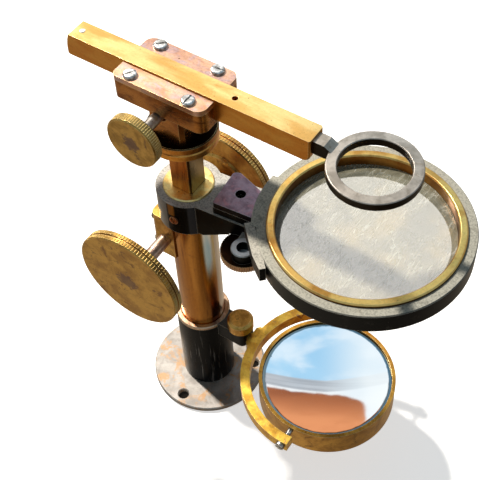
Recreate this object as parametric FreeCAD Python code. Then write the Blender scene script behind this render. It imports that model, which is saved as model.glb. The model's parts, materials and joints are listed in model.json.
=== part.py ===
import FreeCAD, Part
import math
import os

os.makedirs("parts", exist_ok=True)
V = FreeCAD.Vector
X, Y, Z = V(1, 0, 0), V(0, 1, 0), V(0, 0, 1)

# Frame: millimetres, +Z up the pillar, +X along the lens arm, the origin at the middle of the
# flange's underside. The pinion shafts lie along Y.

# --- base flange, socket and pillar
flange_r, flange_t = 24.6, 2.0
flange_hole_r, flange_hole_pcr, flange_hole_count = 2.3, 20.1, 3
socket_r, socket_top, socket_floor = 11.2, 43.7, 2.0
rim_top = 45.1
pillar_r, pillar_bore_r, pillar_top = 9.0, 7.0, 122.4
cap_r, cap_top, cap_plug_len = 9.45, 123.9, 9.0
guide_top, guide_len = 84.0, 10.0

# --- square focus bar, its rack and the turntable
bar_hx, bar_hy, bar_chamfer = 4.65, 4.65, 0.8
rack_face = 4.2                             # the rack lies in a shallow channel in the bar
slide_clear = 0.05
focus_bar_bottom, disc_bottom = 60.0, 147.5
disc_r, disc_t, disc_gap = 12.6, 2.95, 0.08
swivel_r, swivel_len = 3.0, 6.0

# --- rack teeth and pinions
module, tooth_count, pressure_deg = 0.7, 10, 25.0
addendum, dedendum, backlash = 0.55, 0.85, 0.14
pitch_r = module * tooth_count / 2
rack_pitch = math.pi * module
rack_mouth, rack_margin = 0.5, 5.0
focus_axis_z = 95.4
focus_axis_x = -rack_face + addendum - pitch_r
focus_travel_down, focus_travel_up = 22.0, 12.0
rack_low = focus_axis_z - focus_travel_up - rack_margin - 2
rack_high = focus_axis_z + focus_travel_down + rack_margin + 2
focus_shaft_r, focus_tooth_len = 2.6, 5.0

# --- focus knobs and pinion housing
focus_knob_r, focus_knob_t, focus_knob_face = 21.7, 4.6, 32.8
housing_back, housing_hy, housing_low, housing_high = -13.0, 9.2, 86.2, 107.6

# --- collar, stage arm and its socket, all turned a little on the pillar
arm_turn = 5.3
collar_r, collar_top, collar_low = 12.2, 123.3, 108.4
arm_hy, arm_end, arm_tip_low = 9.3, 31.0, 118.4
pad_x0, pad_x1, pad_hy, pad_top = 15.0, 30.6, 8.6, 126.5
tail_t, tail_end, tail_hole_x, tail_hole_y, tail_hole_r = 2.6, 38.5, 22.1, -0.8, 1.9
boss_x, boss_y, boss_r, boss_hole_r = 30.7, -15.6, 4.4, 2.35
boss_top, boss_foot, spigot_r, spigot_low = 120.7, 116.4, 3.0, 113.3
nut_x, nut_y, nut_r, nut_t = 29.6, -13.0, 8.6, 2.7

# --- stage ring
stage_x, stage_r, stage_low, stage_top = 69.5, 36.8, pad_top + tail_t, 137.0
stage_wall_in, stage_ledge_in, stage_ledge_t = 33.4, 28.8, 2.6
inner_ring_r, inner_ring_in, inner_ring_proud = 33.3, 30.5, 1.2
glass_r, glass_t = 30.4, 2.2
lug_r, lug_front, lug_back = 38.4, -17.0, 5.9
side_bar_in, side_bar_out, side_bar_half, side_bar_angle = 36.2, 39.4, 10.0, -140.5
side_bar_low, side_bar_drop, side_bar_taper, side_bar_tip = 130.5, 0.2, 6.0, 38.4

# --- head: guide block, rail plates, lens bar
block_x0, block_x1, block_hy = -18.5, 17.6, 11.0
block_low, block_top, rail_t = 166.3, 173.9, 2.0
post_hx, post_hy, post_chamfer = 7.2, 9.0, 1.4
lens_bar_hy, lens_bar_low, lens_bar_top = 4.1, 167.4, 176.8
lens_bar_x0, lens_bar_x1, lens_bar_bulge = -41.9, 53.0, 1.5
arm_axis_x = -1.4
arm_axis_z = lens_bar_low + addendum - pitch_r
arm_travel_in, arm_travel_out = 30.0, 19.0
arm_shaft_r, arm_tooth_len = 2.0, 4.2
arm_knob_r, arm_knob_t, arm_knob_face = 9.9, 4.0, 24.6
stop_pin_x, peg_hole_x, small_pin_r = -38.9, 23.0, 1.0
neck_hy, neck_x0, neck_x1, neck_low, neck_top = 2.35, 46.5, 57.0, 170.5, 175.8
lens_x, lens_r, lens_in, lens_top, lens_t = 73.4, 15.0, 11.5, 174.2, 2.9

# --- mirror
mirror_x, pivot_z, cell_r, cell_top, cell_low = 60.6, 40.6, 27.5, 42.6, 29.4
cell_wall, mirror_r, mirror_t, mirror_sink = 1.5, 25.9, 5.0, 1.1
mirror_hollow_r, mirror_rim = 180.0, 0.4    # hollow face that gathers light near the stage; flat rim
fork_in, fork_out, fork_hz, fork_end = 31.0, 34.9, 2.6, 2.8
root_x0, root_x1, root_hy = mirror_x - fork_out - 1.5, mirror_x - fork_in - 2, 5.2
pivot_r, pivot_head_r, pivot_head_t = 1.1, 1.9, 1.1
stem_r, stem_end = 2.0, 13.2
bracket_hy, bracket_low, bracket_top, bracket_tip = 4.4, 37.9, 45.8, 23.3
clamp_x, clamp_shank_r, clamp_head_r, clamp_head_t = 19.0, 1.6, 5.4, 5.2


def cyl(r, z0, z1, x=0, y=0):
    return Part.makeCylinder(r, z1 - z0, V(x, y, z0), Z)


def ycyl(r, y0, y1, x, z):
    return Part.makeCylinder(r, y1 - y0, V(x, y0, z), Y)


def box(x0, x1, y0, y1, z0, z1):
    return Part.makeBox(x1 - x0, y1 - y0, z1 - z0, V(x0, y0, z0))


def tube(r, r_in, z0, z1, x=0, y=0):
    return cyl(r, z0, z1, x, y).cut(cyl(r_in, z0 - 1, z1 + 1, x, y))


def prism(points, direction):
    wire = Part.makePolygon([V(*p) for p in points + points[:1]])
    return Part.Face(wire).extrude(direction)


def join(*shapes):
    out = shapes[0]
    for s in shapes[1:]:
        out = out.fuse(s)
    return out.removeSplitter()


def turned(shape):
    """Turn a piece of the stage arm about the pillar axis."""
    s = shape.copy()
    s.rotate(V(0, 0, 0), Z, arm_turn)
    return s


def edges_where(shape, test):
    return [e for e in shape.Edges if test(e)]


def chamfer_z_rims(shape, size, levels):
    """Chamfer the round edges that lie at the given heights."""
    pick = []
    for e in shape.Edges:
        bb = e.BoundBox
        if bb.ZLength < 1e-6 and any(abs(bb.ZMin - z) < 1e-6 for z in levels):
            if isinstance(e.Curve, Part.Circle):
                pick.append(e)
    return shape.makeChamfer(size, pick)


def lathe_y(profile, x, z):
    """Turn a (radius, y) outline about the line through x, z along Y."""
    pts = [V(x + r, y, z) for r, y in profile]
    face = Part.Face(Part.makePolygon(pts + pts[:1]))
    return face.revolve(V(x, 0, z), Y, 360)


def export(name, shape):
    if not shape.isValid():
        raise ValueError("invalid shape: " + name)
    shape.exportStep("parts/" + name + ".step")
    print(name, len(shape.Solids), "solid", round(shape.Volume, 1))


def involute_point(r, base_r, shift):
    a = math.acos(min(1.0, base_r / r))
    t = math.tan(a) - a
    return shift - t


def pinion_outline():
    """One closed tooth outline: a list of (radius, angle) round the whole gear."""
    base_r = pitch_r * math.cos(math.radians(pressure_deg))
    tip_r = pitch_r + addendum
    root_r = pitch_r - dedendum
    half = (math.pi * module / 2 - backlash / 2) / 2 / pitch_r
    a0 = math.acos(base_r / pitch_r)
    shift = half + math.tan(a0) - a0
    radii = [base_r + (tip_r - base_r) * k / 4.0 for k in range(5)]
    flank = [(r, involute_point(r, base_r, shift)) for r in radii]
    out = []
    for n in range(tooth_count):
        mid = 2 * math.pi * n / tooth_count
        out.append((root_r, mid - shift))
        out += [(r, mid - a) for r, a in flank]
        out += [(r, mid + a) for r, a in reversed(flank)]
        out.append((root_r, mid + shift))
    return out


def pinion_teeth(x, z, length, phase):
    """Spur teeth centred on y = 0; phase is the angle of one tooth from +X towards +Z."""
    pts = []
    for r, a in pinion_outline():
        pts.append((x + r * math.cos(a + phase), -length / 2, z + r * math.sin(a + phase)))
    return prism(pts, V(0, length, 0))


def rack_gap(tooth_len):
    """The gap between two rack teeth, open towards -Z, its tip plane at z = 0."""
    slope = math.tan(math.radians(pressure_deg))
    middle = rack_pitch / 4 + backlash / 4
    mouth = middle + (addendum + rack_mouth) * slope
    floor = middle - dedendum * slope
    h = tooth_len / 2 + 0.3
    depth = addendum + dedendum
    return prism([(-mouth, -h, -rack_mouth), (-floor, -h, depth), (floor, -h, depth),
                  (mouth, -h, -rack_mouth)], V(0, 2 * h, 0))


def rack_gap_places(axis, before, after):
    """Where the gaps lie along a rack that meets its pinion at axis over the whole travel."""
    first = -int((before + rack_margin) / rack_pitch)
    last = int((after + rack_margin) / rack_pitch)
    return [axis + rack_pitch * n for n in range(first, last + 1)]


# ------------------------------------------------------------------ base and pillar
flange = cyl(flange_r, 0, flange_t)
for n in range(flange_hole_count):
    a = math.radians(-90 + 360.0 / flange_hole_count * n)
    hx, hy = flange_hole_pcr * math.cos(a), flange_hole_pcr * math.sin(a)
    flange = flange.cut(cyl(flange_hole_r, -1, flange_t + 1, hx, hy))
flange = chamfer_z_rims(flange, 0.4, [flange_t])
export("base_flange", flange)

socket = tube(socket_r, pillar_r, flange_t, socket_top)
export("pillar_socket", socket)

rim = tube(socket_r, pillar_r, socket_top, rim_top)
rim = chamfer_z_rims(rim, 0.35, [rim_top])
export("socket_rim", rim)

pinion_gap = box(focus_axis_x - 6, 0, -3.1, 3.1, focus_axis_z - 5.2, focus_axis_z + 5.2)
shaft_way = ycyl(focus_shaft_r + 0.3, -12, 12, focus_axis_x, focus_axis_z)
pillar = tube(pillar_r, pillar_bore_r, flange_t, pillar_top).cut(pinion_gap).cut(shaft_way)
export("pillar_tube", pillar)


def square_bar(grow, z0, z1):
    hx, hy, c = bar_hx + grow, bar_hy + grow, bar_chamfer
    pts = [(hx, hy - c), (hx - c, hy), (c - hx, hy), (-hx, hy - c)]
    pts += [(-x, -y) for x, y in pts]
    return prism([(x, y, z0) for x, y in pts], V(0, 0, z1 - z0))


cap = cyl(pillar_bore_r, pillar_top - cap_plug_len, pillar_top)
cap = join(cap, cyl(cap_r, pillar_top, cap_top))
cap = cap.cut(square_bar(slide_clear, pillar_top - cap_plug_len - 1, cap_top + 1))
export("pillar_cap", chamfer_z_rims(cap, 0.4, [cap_top]))

guide = cyl(pillar_bore_r, guide_top - guide_len, guide_top)
guide = guide.cut(square_bar(slide_clear, guide_top - guide_len - 1, guide_top + 1))
export("lower_guide", guide)

housing = box(housing_back, -3.0, -housing_hy, housing_hy, housing_low, housing_high)
back_edges = edges_where(housing, lambda e: e.BoundBox.XMax < housing_back + 1e-6
                         and e.BoundBox.ZLength > 5)
housing = housing.makeFillet(2.6, back_edges)
housing = housing.cut(cyl(pillar_r, 80, 110))
cavity = ycyl(4.6, -3.1, 3.1, focus_axis_x, focus_axis_z)
housing = housing.cut(cavity).cut(ycyl(focus_shaft_r + 0.03, -12, 12, focus_axis_x, focus_axis_z))
housing_screw_at = [(y, z) for y in (-6.0, 6.0) for z in (housing_low + 4.2, housing_high - 4.2)]
for y, z in housing_screw_at:
    housing = housing.cut(Part.makeCylinder(1.1, 4.0, V(housing_back - 1, y, z), X))
export("pinion_housing", housing)


def slotted_screw(head_r, head_t, shank_r, shank_len, slot_angle):
    """A screw standing up from z = 0, its slot turned by slot_angle."""
    head = Part.makeCylinder(head_r, head_t)
    top = edges_where(head, lambda e: abs(e.BoundBox.ZMin - head_t) < 1e-6
                      and isinstance(e.Curve, Part.Circle))
    head = head.makeFillet(head_t * 0.6, top)
    slot = box(-head_r, head_r, -head_r * 0.14, head_r * 0.14, head_t * 0.5, head_t + 1)
    slot.rotate(V(0, 0, 0), Z, slot_angle)
    shank = Part.makeCylinder(shank_r, shank_len, V(0, 0, -shank_len), Z)
    return join(head.cut(slot), shank)


def placed(shape, at, axis=None, angle=0.0):
    s = shape.copy()
    if axis is not None:
        s.rotate(V(0, 0, 0), axis, angle)
    s.translate(at)
    return s


housing_screws = []
for n, (y, z) in enumerate(housing_screw_at):
    s = slotted_screw(1.9, 1.0, 1.1, 2.8, 35 + 40 * n)
    housing_screws.append(placed(s, V(housing_back, y, z), Y, -90))
export("housing_screws", Part.makeCompound(housing_screws))

# ------------------------------------------------------------------ collar and stage arm
collar = cyl(collar_r, collar_low, collar_top)
web = prism([(0, -arm_hy, collar_top), (0, -arm_hy, collar_low), (10.4, -arm_hy, collar_low + 0.6),
             (23.4, -arm_hy, arm_tip_low - 1.7), (arm_end, -arm_hy, arm_tip_low),
             (arm_end, -arm_hy, collar_top)], V(0, 2 * arm_hy, 0))
pad = box(pad_x0, pad_x1, -pad_hy, pad_hy - 3.2, collar_top - 1, pad_top)
lug = box(arm_end - 4.0, boss_x + 1.5, boss_y, -arm_hy + 1, boss_foot + 0.4, boss_top - 0.6)
boss = cyl(boss_r, boss_foot, boss_top, boss_x, boss_y)
boss = chamfer_z_rims(boss, 0.3, [boss_top])
spigot = cyl(spigot_r, spigot_low, boss_foot + 1, nut_x, nut_y)
scallop = cyl(nut_r + 0.5, 100, boss_foot, nut_x, nut_y)
arm = join(collar, web).cut(scallop)
arm = join(arm, pad, lug, boss, spigot)
arm = arm.cut(cyl(boss_hole_r, boss_foot, boss_top + 1, boss_x, boss_y))
arm = arm.cut(cyl(tail_hole_r, 100, 130, tail_hole_x, tail_hole_y))
arm = turned(arm).cut(cyl(pillar_r, collar_low - 1, collar_top + 1))
arm = arm.cut(cyl(cap_r, pillar_top, collar_top + 1))
collar_screw_angle, collar_screw_z = -83.5, 115.4
screw_seat = placed(Part.makeCylinder(1.0, 4.0, V(0, 0, -4.0), Z), V(0, 0, 0), Y, 90)
screw_seat.translate(V(collar_r + 0.1, 0, collar_screw_z))
screw_seat.rotate(V(0, 0, 0), Z, collar_screw_angle)
arm = arm.cut(screw_seat)
export("collar_arm", arm)

collar_screw = placed(slotted_screw(1.8, 0.9, 1.0, 2.9, 20), V(0, 0, 0), Y, 90)
collar_screw.translate(V(collar_r - 0.1, 0, collar_screw_z))
collar_screw.rotate(V(0, 0, 0), Z, collar_screw_angle)
collar_screw = collar_screw.cut(cyl(pillar_r, 110, 120))
export("collar_screw", collar_screw.cut(arm))

nut_top = boss_foot - 0.1
nut = tube(nut_r, spigot_r + 0.05, nut_top - nut_t, nut_top, nut_x, nut_y)
for n in range(60):
    groove = cyl(0.34, nut_top - nut_t - 1, nut_top + 1, nut_x + nut_r + 0.1, nut_y)
    groove.rotate(V(nut_x, nut_y, 0), Z, 6.0 * n)
    nut = nut.cut(groove)
export("socket_nut", turned(nut))

# ------------------------------------------------------------------ stage
tail = prism([(pad_x0, -pad_hy, pad_top), (tail_end, -pad_hy, pad_top), (tail_end, 3.6, pad_top),
              (28.0, 3.6, pad_top), (17.4, 8.0, pad_top), (pad_x0, 7.2, pad_top)], V(0, 0, tail_t))
back_corners = edges_where(tail, lambda e: e.BoundBox.ZLength > 2 and e.BoundBox.XMax < 18
                           and e.BoundBox.YMin > 5)
tail = tail.makeFillet(1.2, back_corners)
front_corner = edges_where(tail, lambda e: e.BoundBox.ZLength > 2 and e.BoundBox.XMax < pad_x0 + 1
                           and e.BoundBox.YMax < -5)
tail = tail.makeFillet(0.7, front_corner)
tail = tail.cut(cyl(tail_hole_r, 120, 140, tail_hole_x, tail_hole_y))
export("stage_tail", turned(tail))

side_bar = prism([(side_bar_in, -side_bar_half, side_bar_low), (side_bar_out, -side_bar_half, side_bar_low),
                  (side_bar_out, side_bar_half - side_bar_taper, side_bar_low),
                  (side_bar_tip, side_bar_half, side_bar_low), (side_bar_in, side_bar_half, side_bar_low)],
                 V(0, 0, stage_top - side_bar_drop - side_bar_low))
side_bar.rotate(V(0, 0, 0), Z, side_bar_angle)
side_bar.translate(V(stage_x, 0, 0))
export("stage_side_bar", turned(side_bar))

ring = cyl(stage_r, stage_low, stage_top, stage_x)
ring = chamfer_z_rims(ring, 0.35, [stage_top])
lug = cyl(lug_r, stage_low, stage_top, stage_x)
lug = lug.common(box(stage_x - lug_r, stage_x - 30, lug_front, lug_back, stage_low, stage_top))
ring = join(ring, lug)
ring = ring.cut(cyl(stage_ledge_in, 120, 140, stage_x))
ring_seat = stage_low + stage_ledge_t
ring = ring.cut(cyl(stage_wall_in, ring_seat, 140, stage_x)).cut(side_bar)
export("stage_ring", turned(ring))

inner = tube(inner_ring_r, inner_ring_in, ring_seat, stage_top + inner_ring_proud, stage_x)
inner = chamfer_z_rims(inner, 0.45, [stage_top + inner_ring_proud])
export("stage_inner_ring", turned(inner))

glass = cyl(glass_r, ring_seat, ring_seat + glass_t, stage_x)
export("stage_glass", turned(glass))

# ------------------------------------------------------------------ focus bar and turntable
focus_bar = square_bar(0, focus_bar_bottom, disc_bottom)
channel_hy = focus_tooth_len / 2 + 0.3
focus_bar = focus_bar.cut(box(-bar_hx - 1, -rack_face, -channel_hy, channel_hy, rack_low, rack_high))
for z in rack_gap_places(focus_axis_z, focus_travel_up, focus_travel_down):
    gap = rack_gap(focus_tooth_len)
    gap.rotate(V(0, 0, 0), Y, 90)
    gap.translate(V(-rack_face, 0, z))
    focus_bar = focus_bar.cut(gap)
export("focus_bar", focus_bar)

lower_disc = cyl(disc_r, disc_bottom, disc_bottom + disc_t)
lower_disc = chamfer_z_rims(lower_disc, 0.35, [disc_bottom, disc_bottom + disc_t])
export("lower_disc", lower_disc)

upper_low = disc_bottom + disc_t + disc_gap
upper_top = upper_low + disc_t
stud_low = disc_bottom + disc_t
stud_top = upper_top + swivel_len - 2.6
stud = join(cyl(swivel_r, stud_low, stud_top), cyl(swivel_r + 1.3, stud_top, stud_top + 1.4))
slot = box(-6, 6, -0.5, 0.5, stud_top + 0.6, stud_top + 3)
export("swivel_stud", stud.cut(slot))

# ------------------------------------------------------------------ head
upper_disc = tube(disc_r, swivel_r + 0.05, upper_low, upper_top)
upper_disc = chamfer_z_rims(upper_disc, 0.35, [upper_low, upper_top])
export("upper_disc", upper_disc)

block = box(block_x0, block_x1, -block_hy, block_hy, block_low, block_top)


def round_block_corners(shape):
    """Give a full-width plate or block its four rounded corners."""
    for cx, cy, r in ((block_x0, -1, 2.2), (block_x1, -1, 3.6), (block_x0, 1, 3.4), (block_x1, 1, 3.2)):
        pick = edges_where(shape, lambda e: e.BoundBox.XLength < 1e-6 and e.BoundBox.YLength < 1e-6
                           and abs(e.BoundBox.XMin - cx) < 1e-6
                           and abs(e.BoundBox.YMin - cy * block_hy) < 1e-6)
        shape = shape.makeFillet(r, pick)
    return shape


block = round_block_corners(block)
post = box(-post_hx, post_hx, -post_hy, post_hy, upper_top, block_low + 1)
post_edges = edges_where(post, lambda e: e.BoundBox.ZLength > 5)
post = post.makeChamfer(post_chamfer, post_edges)
block = join(block, post)
channel_floor = lens_bar_low - slide_clear
block = block.cut(box(-40, 40, -lens_bar_hy - slide_clear, lens_bar_hy + slide_clear,
                      channel_floor, 200))
block = block.cut(cyl(swivel_r + 0.05, upper_top - 1, stud_top + 1))
block = block.cut(cyl(swivel_r + 1.6, stud_top - 0.1, stud_top + 2.2))
block = block.cut(ycyl(4.35, -2.45, 2.45, arm_axis_x, arm_axis_z))
block = block.cut(box(arm_axis_x - 4.35, arm_axis_x + 4.35, -2.45, 2.45, arm_axis_z, 170))
block = block.cut(ycyl(arm_shaft_r + 0.03, -12, 7.2, arm_axis_x, arm_axis_z))
block = block.cut(ycyl(arm_shaft_r + 0.75, -12, -post_hy + 1.6, arm_axis_x, arm_axis_z))
rail_screw_at = [(x, y) for x in (-12.5, 10.6) for y in (-8.3, 8.3)]
for x, y in rail_screw_at:
    block = block.cut(cyl(1.15, block_top - 4.5, 200, x, y))
export("head_block", block)

plates = round_block_corners(box(block_x0, block_x1, -block_hy, block_hy, block_top, block_top + rail_t))
rail_top = block_top + rail_t
for x, y in rail_screw_at:
    plates = plates.cut(cyl(1.15, block_top - 1, 200, x, y))
rail_edge = lens_bar_hy + slide_clear
front_rail = plates.common(box(-40, 40, -20, -rail_edge, 170, 180))
back_rail = plates.common(box(-40, 40, rail_edge, 20, 170, 180))
export("front_rail", front_rail)
export("back_rail", back_rail)

rail_screws = []
for n, (x, y) in enumerate(rail_screw_at):
    s = slotted_screw(2.45, 1.3, 1.15, rail_t + 4.0, (58, 42, 88, 6)[n])
    rail_screws.append(placed(s, V(x, y, rail_top)))
export("rail_screws", Part.makeCompound(rail_screws))

# ------------------------------------------------------------------ lens bar
top_corner = V(lens_bar_x0, -lens_bar_hy, lens_bar_top)
bulge = V(lens_bar_x0 - lens_bar_bulge + 0.2, -lens_bar_hy, (lens_bar_low + lens_bar_top) / 2)
low_corner = V(lens_bar_x0 - lens_bar_bulge, -lens_bar_hy, lens_bar_low + 1.0)
heel = V(lens_bar_x0 - lens_bar_bulge + 1.0, -lens_bar_hy, lens_bar_low)
end_low = V(lens_bar_x1, -lens_bar_hy, lens_bar_low)
end_top = V(lens_bar_x1, -lens_bar_hy, lens_bar_top)
outline = [Part.Arc(top_corner, bulge, low_corner).toShape(), Part.makeLine(low_corner, heel),
           Part.makeLine(heel, end_low), Part.makeLine(end_low, end_top),
           Part.makeLine(end_top, top_corner)]
lens_bar = Part.Face(Part.Wire(outline)).extrude(V(0, 2 * lens_bar_hy, 0))
low_end = edges_where(lens_bar, lambda e: e.BoundBox.YLength > 5 and e.BoundBox.XMin > 0
                      and e.BoundBox.ZMax < lens_bar_low + 1e-6)
lens_bar = lens_bar.makeFillet(3.0, low_end)
upright_end = edges_where(lens_bar, lambda e: e.BoundBox.XMin > lens_bar_x1 - 1e-6
                          and e.BoundBox.ZLength > 3 and e.BoundBox.YLength < 1e-6)
lens_bar = lens_bar.makeChamfer(0.5, upright_end)
for x in rack_gap_places(arm_axis_x, arm_travel_out, arm_travel_in):
    gap = rack_gap(arm_tooth_len)
    gap.translate(V(x, 0, lens_bar_low))
    lens_bar = lens_bar.cut(gap)
lens_bar = lens_bar.cut(cyl(small_pin_r, 160, 180, stop_pin_x))
lens_bar = lens_bar.cut(cyl(small_pin_r, lens_bar_top - 4, 180, peg_hole_x))
lens_bar = lens_bar.cut(box(neck_x0, 60, -neck_hy, neck_hy, neck_low, neck_top))
export("lens_bar", lens_bar)

stop_pin = cyl(small_pin_r, channel_floor - 0.75, lens_bar_top + 0.15, stop_pin_x)
export("stop_pin", stop_pin)

neck = box(neck_x0, neck_x1, -neck_hy, neck_hy, neck_low, neck_top)
slope = prism([(neck_x1, -neck_hy, neck_top), (neck_x1 + 2.6, -neck_hy, lens_top),
               (neck_x1 + 2.6, -neck_hy, lens_top - lens_t), (neck_x1, -neck_hy, neck_low)],
              V(0, 2 * neck_hy, 0))
lens_ring = cyl(lens_r, lens_top - lens_t, lens_top, lens_x)
holder = join(neck, slope, lens_ring)
holder = holder.cut(cyl(lens_in, 160, 180, lens_x))
holder = chamfer_z_rims(holder, 0.25, [lens_top])
export("lens_holder", holder)

# ------------------------------------------------------------------ pinions and knobs
arm_shaft = ycyl(arm_shaft_r, -arm_knob_face + 1.2, 7.0, arm_axis_x, arm_axis_z)
teeth = pinion_teeth(arm_axis_x, arm_axis_z, arm_tooth_len, math.pi / 2)
export("arm_pinion", join(arm_shaft, teeth))


def knurl_rim(shape, count, groove_r, rim_r, y0, y1, x, z):
    """Cut evenly spaced straight grooves along the rim of a knob."""
    cuts = []
    for n in range(count):
        a = 2 * math.pi * n / count
        cuts.append(ycyl(groove_r, y0, y1, x + (rim_r + 0.1) * math.cos(a), z + (rim_r + 0.1) * math.sin(a)))
    return shape.cut(Part.makeCompound(cuts))


y0 = -arm_knob_face
y1 = y0 + arm_knob_t
profile = [(0, y0), (arm_knob_r - 0.5, y0), (arm_knob_r, y0 + 0.5), (arm_knob_r, y1 - 0.5),
           (arm_knob_r - 0.5, y1), (3.6, y1), (3.2, y1 + 0.8), (0, y1 + 0.8)]
arm_knob = lathe_y(profile, arm_axis_x, arm_axis_z)
arm_knob = knurl_rim(arm_knob, 72, 0.24, arm_knob_r, y0 + 0.45, y1 - 0.45, arm_axis_x, arm_axis_z)
export("arm_knob", arm_knob.cut(arm_shaft))

shaft_end = focus_knob_face - 1.6
inner_shaft = ycyl(2.0, -6.2, 6.2, focus_axis_x, focus_axis_z)
focus_teeth = pinion_teeth(focus_axis_x, focus_axis_z, focus_tooth_len, 0.0)
outer_a = ycyl(focus_shaft_r, -shaft_end, -6.0, focus_axis_x, focus_axis_z)
outer_b = ycyl(focus_shaft_r, 6.0, shaft_end, focus_axis_x, focus_axis_z)
focus_shaft = join(inner_shaft, outer_a, outer_b, focus_teeth)
export("focus_pinion", focus_shaft)


def focus_knob(side):
    f = focus_knob_face
    r = focus_knob_r
    b = f - focus_knob_t
    mid = (f + b) / 2
    outline = [(0, f), (r - 0.5, f), (r, f - 0.4), (r, mid + 0.35), (r - 0.7, mid + 0.2),
               (r - 0.7, mid - 0.2), (r, mid - 0.35), (r, b + 0.4), (r - 0.6, b),
               (12.2, b), (11.6, b - 0.9), (10.2, b - 1.0), (4.6, b - 3.4), (4.2, b - 5.6), (0, b - 5.6)]
    knob = lathe_y([(q, side * y) for q, y in outline], focus_axis_x, focus_axis_z)
    y_low, y_high = sorted((side * b, side * f))
    knob = knurl_rim(knob, 110, 0.3, r, y_low + 0.35, y_high - 0.35, focus_axis_x, focus_axis_z)
    return knob.cut(focus_shaft)


export("focus_knob_front", focus_knob(-1))
export("focus_knob_back", focus_knob(1))

# ------------------------------------------------------------------ mirror bracket and mirror
bracket = box(8.0, bracket_tip, -bracket_hy, bracket_hy, bracket_low, bracket_top)
tip_edges = edges_where(bracket, lambda e: e.BoundBox.ZLength > 3 and e.BoundBox.XMin > 20)
bracket = bracket.makeFillet(2.4, tip_edges)
bracket = bracket.cut(cyl(socket_r, 30, 60))
stem_bore = Part.makeCylinder(stem_r + 0.04, 20, V(stem_end - 0.6, 0, pivot_z), X)
bracket = bracket.cut(stem_bore).cut(cyl(clamp_shank_r, pivot_z, 60, clamp_x))
export("mirror_bracket", bracket)

clamp_top = bracket_top + clamp_head_t
clamp = join(cyl(clamp_head_r, bracket_top, clamp_top, clamp_x),
             cyl(clamp_shank_r, pivot_z + stem_r + 0.3, bracket_top, clamp_x))
export("clamp_screw", chamfer_z_rims(clamp, 1.0, [clamp_top]))

fork = tube(fork_out, fork_in, pivot_z - fork_hz, pivot_z + fork_hz, mirror_x)
fork = fork.cut(box(mirror_x + fork_end, mirror_x + 50, -50, 50, 0, 80))
root = box(root_x0, root_x1, -root_hy, root_hy, pivot_z - fork_hz, pivot_z + fork_hz)
root_edges = edges_where(root, lambda e: e.BoundBox.ZLength > 3 and e.BoundBox.XMax < root_x0 + 1e-6)
root = root.makeChamfer(1.2, root_edges)
stem = Part.makeCylinder(stem_r, root_x0 + 1 - stem_end, V(stem_end, 0, pivot_z), X)
fork = join(fork, root, stem)
fork = fork.cut(ycyl(pivot_r, -40, 40, mirror_x, pivot_z))
export("mirror_fork", fork)

pivots = []
for side in (-1, 1):
    inner_y = cell_r - cell_wall + 0.05
    head_y = fork_out + 0.05
    low, high = sorted((side * inner_y, side * head_y))
    pin = ycyl(pivot_r, low, high, mirror_x, pivot_z)
    low, high = sorted((side * head_y, side * (head_y + pivot_head_t)))
    pin = join(pin, ycyl(pivot_head_r, low, high, mirror_x, pivot_z))
    low, high = sorted((side * (head_y + pivot_head_t * 0.55), side * (head_y + 3)))
    pin = pin.cut(box(mirror_x - 3, mirror_x + 3, low, high, pivot_z - 0.35, pivot_z + 0.35))
    pivots.append(pin)
export("pivot_screws", Part.makeCompound(pivots))

cell = cyl(cell_r, cell_low, cell_top, mirror_x)
cell = chamfer_z_rims(cell, 1.2, [cell_low])
cell = cell.cut(cyl(cell_r - cell_wall, cell_low + 2.0, cell_top + 1, mirror_x))
glass_low = cell_top - mirror_sink - mirror_t
seat = tube(cell_r - 0.5, cell_r - 3.6, cell_low + 1.9, glass_low, mirror_x)
cell = join(cell, seat).cut(ycyl(pivot_r + 0.05, -40, 40, mirror_x, pivot_z))
export("mirror_cell", cell)

glass_top = glass_low + mirror_t
hollow_z = glass_top + math.sqrt(mirror_hollow_r ** 2 - (mirror_r - mirror_rim) ** 2)
silvered = cyl(mirror_r, glass_low, glass_top, mirror_x)
silvered = silvered.cut(Part.makeSphere(mirror_hollow_r, V(mirror_x, 0, hollow_z)))
export("mirror_glass", silvered)
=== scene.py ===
"""The looks of a brass pillar dissecting microscope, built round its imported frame. Metres, +Z up."""
import json
import math

import bpy
from mathutils import Matrix, Vector


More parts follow.
